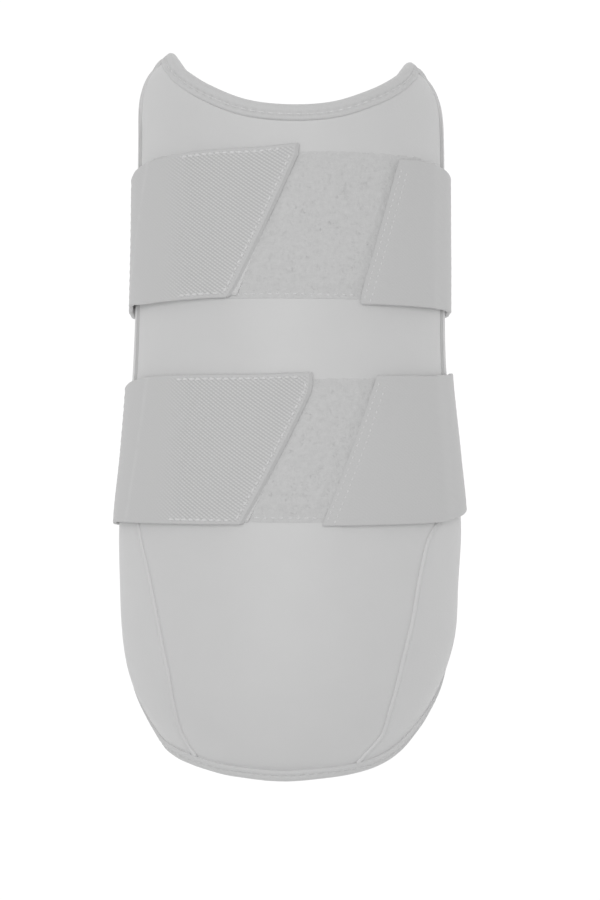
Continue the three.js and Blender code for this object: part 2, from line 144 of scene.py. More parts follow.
# The y at which the guard ends, at an angle on each side. The first row of each table mirrors its third,
# which keeps the edge level in the middle.
LOWER_EDGE = table(
    "angle left right",
    (-20, -122.9, -122.9),
    (0, -123.6, -123.6),
    (20, -122.9, -122.9),
    (38, -121.8, -122.0),
    (54, -120.0, -120.2),
    (68, -118.4, -116.4),
    (80, -117.0, -109.2),
    (89, -114.2, -103.1),
    (96, -107.5, -97.5),
    (102, -96.5, -90.5),
    (107, -83.7, -81.3),
    (111, -71.3, -70.7),
    (114, -59.5, -59.5),
    (115, -50.0, -50.0),
)
UPPER_EDGE = table(
    "angle y",
    (-16, 104.1),
    (0, 102.5),
    (16, 104.1),
    (32, 109.6),
    (46, 115.6),
    (58, 120.2),
    (68, 122.8),
    (76, 123.6),
    (86, 123.2),
    (96, 121),
    (104, 116.6),
    (110, 109.6),
    (113.6, 101),
    (115, 91),
)

# The angle of the piped seam between the front panel and each side panel
SEAM = table(
    "y left right",
    (-126, 46.0, 35.5),
    (-117, 50.0, 41.2),
    (-110, 50.2, 46.2),
    (-101, 47.4, 44.6),
    (-90, 45.9, 43.4),
    (-80, 47.3, 43.5),
    (-66, 50.5, 46.4),
    (-53, 54.5, 49.0),
    (-43, 58.6, 52.0),
    (-37, 61.0, 57.2),
    (-28, 66.5, 65.0),
    (-10, 73.0, 73.0),
    (20, 75.0, 75.0),
    (105, 77.0, 77.0),
    (126, 77.0, 77.0),
)

# The straps: the x at which each slanting end crosses the webbing's two edges, the height of the closed
# end's square tip, how far the hook tape reaches past the closed end at the two edges, the span of the
# loop pile, the rounding of each end's lower corner, and the angles of a crease at the two edges
STRAP_ENDS = {
    "upper": {
        "y": 61.5,
        "sewn": (22.6, 36.6),
        "closed": (-20.2, 1.6),
        "tip": 3.2,
        "peek": (2.6, 0.6),
        "patch": (38.3, 87.9),
        "corner": 2.0,
        "crease": (-75.0, -58.5),
    },
    "lower": {
        "y": -12.6,
        "sewn": (10.0, 30.4),
        "closed": (-15.8, 6.7),
        "tip": 5.5,
        "peek": (2.2, 0.6),
        "patch": (-36.4, 11.6),
        "corner": 1.0,
        "crease": (-62.0, -55.0),
    },
}

# The straps' ways round the arm: the angles over which they are followed, and by angle, the height off
# the form and how far each strap's middle wanders along the arm
STRAP_SPAN = (-5.0, 377.0)
STRAP_ROUTE = table(
    "angle lift upper lower",
    (0, SEWN_END_LIFT, 0, 0),
    (56, SEWN_END_LIFT, 0, 0.6),
    (67, SIDE_LIFT, -0.2, 1.4),
    (92, SIDE_LIFT, -1.6, 2.6),
    (104, BACK_LIFT, -2.4, 2.2),
    (256, BACK_LIFT, -4.0, -2.0),
    (268, SIDE_LIFT, -3.0, -1.5),
    (277, SIDE_LIFT, -1.2, -0.5),
    (292, CLOSED_END_LIFT, 0.7, 0),
    (345, CLOSED_END_LIFT, 1.9, 0.3),
    (372, CLOSED_END_LIFT, 4.4, 1.1),
)

# How far each strap's lower and upper edges are drawn up from their places at an angle: stretched
# round the sides, the elastic is narrower
STRAP_NECK = table(
    "angle upper_low upper_high lower_low lower_high",
    (40, 0, 0, 0, 0),
    (56, 0, 0, 0.2, 0),
    (75, 0.4, -0.8, 1.0, 0),
    (92, 1.4, -1.6, 2.0, 0),
    (104, 1.4, -2.0, 2.0, 0),
    (256, 1.8, -6.0, 0, -5.0),
    (268, 1.8, -7.0, 0, -5.5),
    (275, 1.6, -6.4, 0, -5.0),
    (283, 1.1, -4.7, 0, -3.5),
    (288, 0.6, -3.6, 0, -2.2),
    (298, 0, -1.7, 0, -0.8),
    (310, 0, -0.6, 0, -0.1),
    (325, 0, 0, 0, 0),
    (340, 0, 0, 0, 0),
)
# The reach of a strap's crease to either side, and how much lighter the webbing is along it: a painted
# highlight for the lit ridge of a fold
STRAP_CREASE = {"reach": 1.9, "lighter": 0.15}

# How much further a closed end reaches at its underside than at its face
CLOSED_CUT_SLANT = 1.3

# The reach of the pile and of the hook tape, and the tape's thickness at its border, as a share
PATCH_ANGLES = (-60.0, 55.0)
HOOK_BACK_ANGLES = (-65.0, -57.0)
HOOK_MARGIN = 1.0
HOOK_BORDER = 0.7

# How far a closed strap, its closed and sewn ends, the hook tape's two faces and the pile are pressed
# together
STRAP_PRESS = 0.8
END_PRESS = {"closed": 0.5, "sewn": 0.7, "thin": 0.3, "reach": 9.0}
HOOK_PRESS = {"top": 0.8, "bottom": 0.75, "end": 0.25}
PILE_PRESS = {"closed": 0.5, "sewn": 0.3, "reach": 5.0}
PILE_EDGE = {"thin": 0.35, "reach": 7.0, "fray": 0.35}

# The pile's relief: coarse and fine lumps, and the loops that stand in it
PILE_LUMPS = table("size height", (1.3, 0.15), (0.6, 0.1))
PILE_LOOPS = {
    "seed": 31,
    "tried": 4400,
    "angles": (-30.0, 50.0),
    "margin": 0.5,
    "under": 1.0,
    "span": (0.5, 1.1),
    "rise": (0.06, 0.16),
    "lean": (-0.35, 0.35),
    "sunk": 0.1,
    "radius": 0.07,
}

# Light: a glowing table, a dim even sky and a soft key from above, a little to the left
FLOOR_GLOW = 1.0
SKY_GLOW = 0.35
KEY_LIGHT = {"place": (-60, 85, 1300), "aim": (0, 0, 60), "size": 600, "power": 6.0}

# The camera: straight down on the face, at the photograph's distance and framing
CAMERA_PLACE = (3.31, -12.3, 900.0)
CAMERA_ROLL = 0.3
CAMERA_LENS = 96.68
CAMERA_SENSOR = 36.0


def mix(a, b, share):
    """The value that lies a share of the way from a to b."""
    return a + (b - a) * share


def smooth(at, low, high):
    """An S from 0 at low to 1 at high, level at both ends: three squares less two cubes."""
    share = np.clip((at - low) / (high - low), 0, 1)
    return share * share * (3 - 2 * share)


def bell(distance, spread):
    """A hump that is 1 at no distance and falls off over a spread: the exponential of less the square."""
    return np.exp(-((distance / spread) ** 2))


def bracket(keys, at):
    """The table row before each value, and the share of the way on to the next row."""
    row = np.clip(np.searchsorted(keys, at, side="right") - 1, 0, len(keys) - 2)
    return row, np.clip((at - keys[row]) / (keys[row + 1] - keys[row]), 0, 1)


def curve(rows, key, column, at):
    """A smooth curve through a column: between two rows, the cubic that has at each of them the
    slope of the chord between that row's neighbours."""
    keys, values = rows[key], rows[column]
    row, share = bracket(keys, at)
    order = np.arange(len(keys))
    before, after = np.maximum(order - 1, 0), np.minimum(order + 1, len(keys) - 1)
    slopes = (values[after] - values[before]) / (keys[after] - keys[before])
    run = keys[row + 1] - keys[row]
    squared, cubed = share**2, share**3
    return (
        values[row] * (2 * cubed - 3 * squared + 1)
        + values[row + 1] * (3 * squared - 2 * cubed)
        + run * slopes[row] * (cubed - 2 * squared + share)
        + run * slopes[row + 1] * (cubed - squared)
    )


def ramp(rows, key, column, at):
    """A column with a level stretch at each row and an S between rows."""
    row, share = bracket(rows[key], at)
    return mix(rows[column][row], rows[column][row + 1], smooth(share, 0, 1))


def lower_edge(angle):
    """The y of the guard's lower end at an angle, from the column of its side."""
    left, right = (curve(LOWER_EDGE, "angle", side, np.abs(angle)) for side in ("left", "right"))
    return np.where(np.asarray(angle) < 0, left, right)


def upper_edge(angle):
    """The y of the guard's scooped end at an angle."""
    return curve(UPPER_EDGE, "angle", "y", np.abs(angle))


def seam_angle(sign, y):
    """The angle of the left seam at a y where the sign is -1, and of the right seam where it is 1."""
    return np.where(np.asarray(sign) < 0, -curve(SEAM, "y", "left", y), curve(SEAM, "y", "right", y))


def unit(vectors):
    """Vectors brought to length one."""
    return vectors / np.linalg.norm(vectors, axis=-1, keepdims=True)


def form(angle, y):
    """Points of the form: half an ellipse over the face, a quarter ellipse at each corner of the
    back, and a flat back, shifted sideways by the station and leaning at the ears."""
    angle, y = np.broadcast_arrays(np.asarray(angle, float), np.asarray(y, float))
    half = curve(STATIONS, "y", "half", y)
    crown = curve(STATIONS, "y", "crown", y)
    turn = (angle + 180) % 360 - 180
    size = np.abs(turn)
    arch = np.radians(np.minimum(size, 90))
    corner = np.radians(90 * np.clip((size - 90) / (BACK_CORNER_END - 90), 0, 1))
    on_face, on_back = size <= 90, size > BACK_CORNER_END
    x = np.where(on_face, half * np.sin(arch), BACK_HALF_FLAT + (half - BACK_HALF_FLAT) * np.cos(corner))
    x = np.where(on_back, BACK_HALF_FLAT * (180 - size) / (180 - BACK_CORNER_END), x)
    rise = WIDEST_LEVEL + (crown - WIDEST_LEVEL) * np.cos(arch)
    fall = WIDEST_LEVEL - (WIDEST_LEVEL - BACK_LEVEL) * np.sin(corner)
    across = np.sign(turn) * x
    lean = EAR_LEAN * smooth(y, *LEAN_SPAN) * across / half
    shift = curve(STATIONS, "y", "shift", y)
    return np.stack([across + shift, y - lean, np.where(on_face, rise, fall)], axis=-1)


def form_axes(angle, y):
    """The form's change per degree round the arm, its change per millimetre along it, and the
    direction straight out of it, which is their cross product."""
    step = 0.05
    around = (form(angle + step, y) - form(angle - step, y)) / (2 * step)
    along = (form(angle, y + step) - form(angle, y - step)) / (2 * step)
    return around, along, unit(np.cross(around, along))


def lifted(angle, y, lift):
    """Points that lie off the form by a lift, along its outward direction."""
    return form(angle, y) + np.asarray(lift)[..., None] * form_axes(angle, y)[2]


def reach(angle, y):
    """Millimetres of surface to a degree round the arm."""
    return np.linalg.norm(form_axes(angle, y)[0], axis=-1)


def angle_at_x(x, y):
    """The angle on the face at which the form reaches an x: the arc sine of its share of the half-width."""
    return np.degrees(np.arcsin(np.clip(x / curve(STATIONS, "y", "half", y), -1, 1)))


def lengths(points):
    """The distance along a path at each of its points, which is the sum of the steps before it."""
    steps = np.linalg.norm(np.diff(points, axis=0), axis=-1)
    return np.concatenate([[0.0], np.cumsum(steps)])


def along_path(values, reached, at):
    """Each column of values at distances along a path, in straight lines between its points."""
    return np.stack([np.interp(at, reached, column) for column in values.T], axis=-1)


def mottle(u, v, seed):
    """Relief from -1 to 1 over cells one unit wide: seeded heights at the cells' corners, with an S
    from corner to corner both ways."""
    size = 128
    heights = np.random.default_rng(seed).uniform(-1, 1, (size, size))
    i, j = np.floor(u).astype(int), np.floor(v).astype(int)
    a, b = smooth(u - i, 0, 1), smooth(v - j, 0, 1)
    low = mix(heights[i % size, j % size], heights[(i + 1) % size, j % size], a)
    high = mix(heights[i % size, (j + 1) % size], heights[(i + 1) % size, (j + 1) % size], a)
    return mix(low, high, b)


def shares(columns, rows):
    """Shares from 0 to 1 across and up a grid."""
    return np.linspace(0, 1, columns + 1)[:, None], np.linspace(0, 1, rows + 1)[None, :]


def grid_faces(index):
    """The quads of a grid of vertex numbers, turning from the first direction to the second."""
    return np.stack([index[:-1, :-1], index[1:, :-1], index[1:, 1:], index[:-1, 1:]], axis=-1).reshape(-1, 4)


def wall(outer, inner):
    """A closed wall between two grids of points: both faces, and a rim of quads round their border."""
    rows, columns = outer.shape[:2]
    index = np.arange(2 * rows * columns).reshape(2, rows, columns)
    top, bottom = index
    rim_top, rim_bottom = (
        np.concatenate([face[:-1, 0], face[-1, :-1], face[:0:-1, -1], face[0, :0:-1]])
        for face in (top, bottom)
    )
    rims = np.stack([rim_top, rim_bottom, np.roll(rim_bottom, -1), np.roll(rim_top, -1)], axis=-1)
    points = np.concatenate([outer.reshape(-1, 3), inner.reshape(-1, 3)])
    return points, [grid_faces(top), grid_faces(bottom.T), rims]


def tubes(centres, outs, radii, sides):
    """Round tubes along many paths at once: at each path point a ring of its radius, in the plane of
    the outward direction and the direction across the path, with a flat cap at both ends."""
    along = unit(np.gradient(centres, axis=1))
    across = unit(np.cross(along, outs))
    up = np.cross(across, along)
    turn = 2 * np.pi * np.arange(sides) / sides
    ring = np.cos(turn)[:, None] * up[:, :, None] + np.sin(turn)[:, None] * across[:, :, None]
    points = centres[:, :, None] + np.asarray(radii)[..., None, None] * ring
    index = np.arange(points[..., 0].size).reshape(points.shape[:3])
    following = np.roll(index, -1, axis=2)
    quads = np.stack([index[:, :-1], index[:, 1:], following[:, 1:], following[:, :-1]], axis=-1)
    return points.reshape(-1, 3), [quads.reshape(-1, 4), index[:, 0], index[:, -1, ::-1]]


def joined(parts):
    """Several sets of points and faces as one set."""
    points, faces, count = [], [], 0
    for part_points, part_faces in parts:
        points.append(part_points)
        faces.extend(face + count for face in part_faces)
        count += len(part_points)
    return np.concatenate(points), faces


def add_object(name, data):
    """A new object of the scene, made of the data."""
    made = bpy.data.objects.new(name, data)
    bpy.context.scene.collection.objects.link(made)
    return made


def add_piece(name, points, faces, finish, stands_for=(), uv=None, sharp=180, cut=()):
    """Fills a mesh with points, in metres, and faces of any size, shades it smooth up to an angle and up
    to the edges between the points of a cut, and lets it ride on the guard."""
    mesh = bpy.data.meshes.new(name)
    corners = np.concatenate([face.ravel() for face in faces]).astype(np.int32)
    sizes = np.concatenate([np.full(len(face), face.shape[1]) for face in faces])
    mesh.vertices.add(len(points))
    mesh.vertices.foreach_set("co", (points * METRES).astype(np.float32).ravel())
    mesh.loops.add(corners.size)
    mesh.loops.foreach_set("vertex_index", corners)
    mesh.polygons.add(sizes.size)
    mesh.polygons.foreach_set("loop_start", (np.cumsum(sizes) - sizes).astype(np.int32))
    if uv is not None:
        layer = mesh.uv_layers.new(name="UVMap")
        layer.data.foreach_set("uv", (uv[corners] * METRES).astype(np.float32).ravel())
    mesh.update(calc_edges=True)
    mesh.validate()
    mesh.shade_smooth()
    mesh.set_sharp_from_angle(angle=np.radians(sharp))
    if len(cut):
        ends = np.empty(2 * len(mesh.edges), np.int32)
        mesh.edges.foreach_get("vertices", ends)
        keen = np.empty(len(mesh.edges), bool)
        mesh.edges.foreach_get("use_edge_sharp", keen)
        keen |= np.isin(ends, cut).reshape(-1, 2).all(axis=1)
        mesh.edges.foreach_set("use_edge_sharp", keen)
    mesh.materials.append(finish)
    piece = add_object(name, mesh)
    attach(piece, BODY)
    if stands_for:
        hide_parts(*stands_for)
    return piece


# Finishes


class Value:
    """A socket of a material's nodes. Arithmetic on it adds Math nodes."""

    def __init__(self, tree, socket):
        self.tree = tree
        self.socket = socket

    def node(self, kind, settings, inputs, output=0):
        """Adds a node of a type, with its settings first, then its sockets' values or links."""
        made = self.tree.nodes.new(kind)
        for name, value in settings.items():
            setattr(made, name, value)
        for name, value in inputs.items():
            if isinstance(value, Value):
                self.tree.links.new(value.socket, made.inputs[name])
            else:
                made.inputs[name].default_value = value
        return Value(self.tree, made.outputs[output])

    def math(self, operation, *operands):
        """Adds a Math node of an operation on values or numbers."""
        return self.node("ShaderNodeMath", {"operation": operation}, dict(enumerate(operands)))

    def __add__(self, other):
        return self.math("ADD", self, other)

    def __sub__(self, other):
        return self.math("SUBTRACT", self, other)

    def __rsub__(self, other):
        return self.math("SUBTRACT", other, self)

    def __mul__(self, other):
        return self.math("MULTIPLY", self, other)

    def __truediv__(self, other):
        return self.math("DIVIDE", self, other)

    def __pow__(self, other):
        return self.math("POWER", self, other)

    __radd__ = __add__
    __rmul__ = __mul__

    def wave(self):
        """From 0 to 1 and back once in each unit: half of one less the cosine."""
        return 0.5 - 0.5 * self.math("COSINE", self * (2 * np.pi))

    def ease(self, start, end, least=0.0):
        """An S of this value, from the least at start to 1 at end."""
        inputs = {"Value": self, "From Min": start, "From Max": end, "To Min": least, "To Max": 1.0}
        return self.node("ShaderNodeMapRange", {"interpolation_type": "SMOOTHSTEP"}, inputs)

    def noise(self, size, detail=2.0):
        """Cloudy noise from 0 to 1 over this place, in cells of a size in millimetres."""
        inputs = {"Vector": self, "Scale": 1 / (size * METRES), "Detail": detail}
        return self.node("ShaderNodeTexNoise", {}, inputs)

    def axis(self, letter):
        """One coordinate of this place, in millimetres."""
        return self.node("ShaderNodeSeparateXYZ", {}, {"Vector": self}, letter) / METRES

    def checks(self, pitch):
        """Rows of bumps from 0 to 1 over this map, at a pitch in millimetres both ways."""
        return (self.axis("X") / pitch).wave() * (self.axis("Y") / pitch).wave()

    def feed(self, shader, socket):
        """Links this value to a socket of a shader."""
        self.tree.links.new(self.socket, shader.inputs[socket])


def grey(level):
    """A neutral colour of a linear level."""
    return (level, level, level, 1.0)


def shade(shader, factor, dark, light):
    """Colours a shader between two greys, by a value from 0 to 1. The Mix node's sockets for colours go
    by number, because others have the same names."""
    factor_in, dark_in, light_in, colour_out = 0, 6, 7, 2
    inputs = {factor_in: factor, dark_in: grey(dark), light_in: grey(light)}
    factor.node("ShaderNodeMix", {"data_type": "RGBA"}, inputs, colour_out).feed(shader, "Base Color")


def relief(shader, height, depth):
    """Raises a shader's face by a height between 0 and 1 that stands for a depth in millimetres."""
    inputs = {"Height": height, "Distance": depth * METRES}
    height.node("ShaderNodeBump", {}, inputs).feed(shader, "Normal")


def new_finish(name, **constants):
    """A material with constant values on its shader, and where its patterns lie: in the object and
    on the piece's own unrolled map."""
    material = bpy.data.materials.new(name)
    material.use_nodes = True
    tree = material.node_tree
    shader = tree.nodes["Principled BSDF"]
    for socket, value in constants.items():
        shader.inputs[socket.replace("_", " ")].default_value = value
    places = tree.nodes.new("ShaderNodeTexCoord")
    return material, shader, Value(tree, places.outputs["Object"]), Value(tree, places.outputs["UV"])


def leather_finish():
    """Smooth coated leather: fine pebbles under a soft sheen, with a faint cloudiness."""
    material, shader, place, _ = new_finish("white_leather", Specular_IOR_Level=0.35)
    pebble_size = 0.9
    pebbles = place.node("ShaderNodeTexVoronoi", {}, {"Vector": place, "Scale": 1 / (pebble_size * METRES)})
    shade(shader, place.noise(size=14), dark=0.76, light=0.79)
    mix(0.46, 0.56, place.noise(size=3)).feed(shader, "Roughness")
    relief(shader, mix(pebbles, place.noise(size=0.5), share=0.4), depth=0.03)
    return material


def binding_finish():
    """Close woven tape: fine threads both ways, matte."""
    material, shader, _, weave = new_finish("white_binding", Roughness=0.75, Sheen_Weight=0.1)
    threads = weave.checks(pitch=0.5)
    shade(shader, mix(threads, weave.noise(size=2), share=0.4), dark=0.72, light=0.79)
    relief(shader, threads, depth=0.04)
    return material


def webbing_finish(name, crease, closed, tip):
    """Twill elastic: slanting ribs broken up by the threads that cross them, drawn smooth towards the sewn
    end. The colour is darker in the ribs' valleys, partly the twill's look and partly painted shade, and a
    painted highlight lightens it along a crease, for the lit ridge of a fold. The crease and the closed end,
    where the ribs stop, cross the two edges at the distances given, and the end's square tip has a height."""
    material, shader, _, weave = new_finish(name, Roughness=0.82, Sheen_Weight=0.15)
    along, across = weave.axis("X"), weave.axis("Y")
    rib = ((across + along * RIB_SLOPE) / RIB_PITCH).wave()
    cross = ((across - along * RIB_SLOPE) / RIB_PITCH).wave()
    selvedge = across.math("MINIMUM", across, STRAP_WIDTH - across).ease(**SELVEDGE)
    to_end = mix(*closed, across.math("MINIMUM", across / (STRAP_WIDTH - tip), 1.0)) - along
    shown = along.ease(**RIB_FADE) * selvedge * to_end.ease(0, SELVEDGE["end"])
    # Painted highlight along the crease, in patches, for the lit ridge of a fold
    off_crease = along - mix(*crease, across / STRAP_WIDTH)
    crease_highlight = 1 - off_crease.math("ABSOLUTE", off_crease).ease(0, STRAP_CREASE["reach"])
    patchy = weave.noise(size=5).ease(start=0.3, end=0.6)
    plain, usual_dash = 0.5, 0.4
    # Darker in the ribs' valleys: partly the twill's look, partly painted shade for the ribs' own shading
    dashes_and_valley_shade = rib * mix(0.5, 1.0, cross) - usual_dash
    # The colour: the ribs with their painted valley shade, plus the crease's painted highlight
    threads = plain + dashes_and_valley_shade * shown + STRAP_CREASE["lighter"] * crease_highlight * patchy
    fuzz = weave.noise(size=0.4)
    shade(shader, mix(threads, fuzz, share=0.25), dark=0.57, light=0.82)
    relief(shader, mix(cross * shown, fuzz, share=0.4), depth=0.06)
    return material


def pile_finish():
    """Brushed loop pile: soft lumps and fine fuzz."""
    material, shader, place, _ = new_finish("white_pile", Roughness=0.95, Sheen_Weight=0.25)
    lumps = place.noise(size=1.6, detail=3)
    fuzz = place.noise(size=0.35, detail=3)
    shade(shader, mix(lumps, fuzz, share=0.5), dark=0.61, light=0.83)
    relief(shader, mix(lumps, fuzz, share=0.6), depth=0.08)
    return material


def cord_finish():
    """The leather over a seam's cord, darkened a little unevenly by painted shade beside the straps, where
    the seam at the guard's sides lies in shade.
    """
    material, shader, place, _ = new_finish("white_cord", Specular_IOR_Level=0.2, Roughness=0.7)
    level = place.axis("Y")
    # Painted shade on the cord between these levels, a little uneven
    beside = level.ease(*CORD_PAINTED_SHADE["start"]) * (1 - level.ease(*CORD_PAINTED_SHADE["end"]))
    painted_shade = beside * mix(0.85, 1.0, place.noise(size=2))
    shade(shader, 1 - painted_shade, dark=0.6, light=0.77)
    relief(shader, place.noise(size=0.5), depth=0.03)
    return material


def hook_finish():
    """Moulded hook tape: rows of small nubs on a plain plastic strip."""
    material, shader, _, weave = new_finish("white_hooks", Roughness=0.5)
    nubs = weave.checks(pitch=1.1)
    shade(shader, nubs, dark=0.74, light=0.8)
    relief(shader, nubs, depth=0.15)
    return material


def lining_finish():
    """Knitted lining: columns of small loops along the arm, whose courses sway with the columns."""
    material, shader, _, weave = new_finish("white_lining", Roughness=0.9, Sheen_Weight=0.2)
    column_pitch, course_pitch = 1.3, 1.0
    sway, fullness, least = 0.35, 0.6, 0.45
    column = weave.axis("X") / column_pitch
    course = weave.axis("Y") / course_pitch + sway * column.wave()
    knit = column.wave() ** fullness * mix(least, 1.0, course.wave())
    shade(shader, mix(knit, weave.noise(size=5), share=0.3), dark=0.64, light=0.78)
    relief(shader, knit, depth=0.25)
    return material


def thread_finish():
    """Sewing thread: a slightly glossy white with a fine uneven twist."""
    material, shader, place, _ = new_finish("white_thread", Roughness=0.55, Sheen_Weight=0.2)
    twist = place.noise(size=0.3, detail=3)
    shade(shader, twist, dark=0.82, light=0.9)
    relief(shader, twist, depth=0.08)
    return material


LEATHER = leather_finish()
BINDING = binding_finish()
PILE = pile_finish()
CORD = cord_finish()
HOOKS = hook_finish()
LINING = lining_finish()
THREAD = thread_finish()


# Leather panels


def seam_room(sign, y):
    """The angle between a seam's middle and a panel's edge, which tucks under the piping: the distance
    over the reach of a degree, lengthened where the seam runs askew."""
    step = 0.5
    degree = reach(seam_angle(sign, y), y)
    slant = (seam_angle(sign, y + step) - seam_angle(sign, y - step)) / (2 * step) * degree
    return PANEL_TUCK * np.hypot(1, slant) / degree


def field(left, right, columns, rows):
    """Angles and y values on a grid between two lines that give an angle at every y, and between the
    guard's lower and upper edges: each place is settled by moving half way to its share of both."""
    across, up = shares(columns, rows)
    y = mix(lower_edge(0), upper_edge(0), up) + 0 * across
    settling_passes = 60
    for _ in range(settling_passes):
        angle = mix(left(y), right(y), across)
        y = mix(y, mix(lower_edge(angle), upper_edge(angle), up), share=0.5)
    return angle, y


def add_panel(name, node, left, right, columns, rows):
    """A leather panel on the form. Its face rolls down towards the seam by a bell of the distance to
    it, and its back is flat."""
    angle, y = field(left, right, columns, rows)
    sign = np.sign(angle)
    off_seam = (np.abs(angle - seam_angle(sign, y)) - seam_room(sign, y)) * reach(angle, y)
    roll = PANEL_ROLL["depth"] * bell(off_seam, PANEL_ROLL["reach"])
    points, faces = wall(lifted(angle, y, -roll), lifted(angle, y, -PANEL_THICKNESS))
    add_piece(name, points, faces, LEATHER, [node], sharp=50)


def add_panels():
    """The face between the two seams, and a side panel from each seam to the guard's side edge."""
    def beside_seam(sign, way):
        return lambda y: seam_angle(sign, y) + way * seam_room(sign, y)

    def side_edge(sign):
        return lambda y: sign * SIDE_EDGE_ANGLE + 0 * y

    front = beside_seam(-1, way=1), beside_seam(1, way=-1)
    left = side_edge(-1), beside_seam(-1, way=-1)
    right = beside_seam(1, way=1), side_edge(1)
    add_panel("front_leather", "front_panel", *front, columns=120, rows=180)
    add_panel("left_leather", "side_panel_left", *left, columns=60, rows=160)
    add_panel("right_leather", "side_panel_right", *right, columns=60, rows=160)


# Foam pad with its lining


def edge_inset(angle, y):
    """The distance to the guard's outline: square to the lower and upper edges, or to the side."""
    step = 0.5
    degree = reach(angle, y)

    def square(edge):
        slope = (edge(angle + step) - edge(angle - step)) / (2 * step * degree)
        return np.abs(y - edge(angle)) / np.hypot(1, slope)

    side = (SIDE_EDGE_ANGLE - np.abs(angle)) * degree
    return np.minimum(np.minimum(square(lower_edge), square(upper_edge)), side)


def add_foam():
    """The foam under the panels, even in the middle and pressed thin along its edge, with its lining:
    the thickness goes up an S with the distance from the outline, and swells a little unevenly. The
    lining's map is the length round the inside from the middle, and the y."""
    columns, rows = 120, 130
    angle, y = field(
        lambda y: -SIDE_EDGE_ANGLE + 0 * y,
        lambda y: SIDE_EDGE_ANGLE + 0 * y,
        columns,
        rows,
    )
    top = -PANEL_THICKNESS - GAP
    fullness = smooth(edge_inset(angle, y), FOAM_EDGE_FLAT, FOAM_EDGE_FLAT + FOAM_EDGE_SLOPE)
    swell = mottle(angle / FOAM_SWELL["turn"], y / FOAM_SWELL["length"], seed=4)
    thickness = mix(FOAM_EDGE_THICKNESS, FOAM_THICKNESS, fullness) + FOAM_SWELL["height"] * fullness * swell
    inner = lifted(angle, y, top - thickness)
    points, faces = wall(lifted(angle, y, top), inner)
    around = np.cumsum(np.linalg.norm(np.diff(inner, axis=0, prepend=inner[:1]), axis=-1), axis=0)
    flat = np.stack([around - around[columns // 2], y], axis=-1).reshape(-1, 2)
    flat = np.tile(flat, (2, 1))
    pad = add_piece("lined_foam", points, faces, LINING, ["foam_pad"], flat, sharp=50)


# Binding and its stitches


def outline(step):
    """Angle and y all round the guard's edge at even steps: the lower edge from left to right, the
    right side, the upper edge back, and the left side, with the corners eased by a running mean."""
    sweep_points, side_points = 1201, 300
    sweep = SIDE_EDGE_ANGLE * np.sin(np.linspace(-np.pi / 2, np.pi / 2, sweep_points))
    right, left = (
        np.linspace(lower_edge(side), upper_edge(side), side_points)[1:-1]
        for side in (SIDE_EDGE_ANGLE, -SIDE_EDGE_ANGLE)
    )
    side = np.full(right.size, SIDE_EDGE_ANGLE)
    angle = np.concatenate([sweep, side, -sweep, -side, sweep[:1]])
    y = np.concatenate([lower_edge(sweep), right, upper_edge(sweep), left[::-1], lower_edge(sweep[:1])])
    reached = lengths(form(angle, y))
    count = int(reached[-1] / step)
    even = along_path(np.stack([angle, y], axis=-1), reached, np.arange(count) * reached[-1] / count)
    window = int(BINDING_CORNER / step)
    return np.mean([np.roll(even, k, axis=0) for k in range(-window // 2, window // 2 + 1)], axis=0)


class Edge:
    """The guard's outline, and places beside it at an inset over the surface and a lift off it. The turn
    and the climb are the change of angle and of y that make an inset of a millimetre."""

    def __init__(self, step):
        self.angle, self.y = outline(step).T
        around, along, out = form_axes(self.angle, self.y)
        before, after = (np.roll(form(self.angle, self.y), shift, axis=0) for shift in (1, -1))
        inward = unit(np.cross(out, after - before))
        skew = np.sum(around * along, axis=-1)
        wide, long = np.sum(around**2, axis=-1), np.sum(along**2, axis=-1)
        a, b = np.sum(inward * around, axis=-1), np.sum(inward * along, axis=-1)
        self.turn = (a * long - b * skew) / (wide * long - skew**2)
        self.climb = (b * wide - a * skew) / (wide * long - skew**2)
        loop = np.concatenate([form(self.angle, self.y), form(self.angle[:1], self.y[:1])])
        self.reached = lengths(loop)[:-1]
        self.total = lengths(loop)[-1]

    def place(self, inset, lift):
        """Points for each outline place, and for each inset and lift beside it."""
        angle = self.angle[:, None] + inset * self.turn[:, None]
        y = self.y[:, None] + inset * self.climb[:, None]
        return lifted(angle, y, lift)


def binding_profile():
    """Insets and lifts round the folded tape: a flange that dips at its stitches, a quarter ellipse
    over the edge, the rolled side, and the same again on the lining; then back inside the fold."""
    sewn = BINDING_STITCH["inset"]
    flange = table(
        "inset lift",
        (BINDING_WIDTH, -0.3),
        (BINDING_WIDTH + 0.05, 0.35),
        (BINDING_WIDTH - 0.2, 0.95),
        (BINDING_WIDTH - 0.6, 1.25),
        (BINDING_WIDTH - 1.1, 1.34),
        (BINDING_WIDTH - 1.6, 1.24),
        (sewn + 0.25, 0.95),
        (sewn, 0.85),
        (sewn - 0.25, 0.95),
        (sewn - 0.65, 1.3),
        (sewn - 1.2, 1.38),
    )
    fold_points = 7
    quarter = np.linspace(0, np.pi / 2, fold_points)
    far = BINDING_GAP + BINDING_THICKNESS
    fold_inset = BINDING_FOLD["inset"] - (BINDING_FOLD["inset"] + far) * np.sin(quarter)
    fold_lift = -BINDING_FOLD["depth"] + (BINDING_FOLD["depth"] + far) * np.cos(quarter)
    half_inset = np.concatenate([flange["inset"], fold_inset])
    half_lift = np.concatenate([flange["lift"], fold_lift])
    inside = PANEL_THICKNESS + GAP + FOAM_EDGE_THICKNESS + BINDING_INNER_GAP
    inset = np.concatenate([half_inset, half_inset[::-1], [-BINDING_GAP, -BINDING_GAP]])
    lift = np.concatenate([half_lift, BINDING_GAP - inside - half_lift[::-1], [-inside, BINDING_GAP]])
    return inset, lift


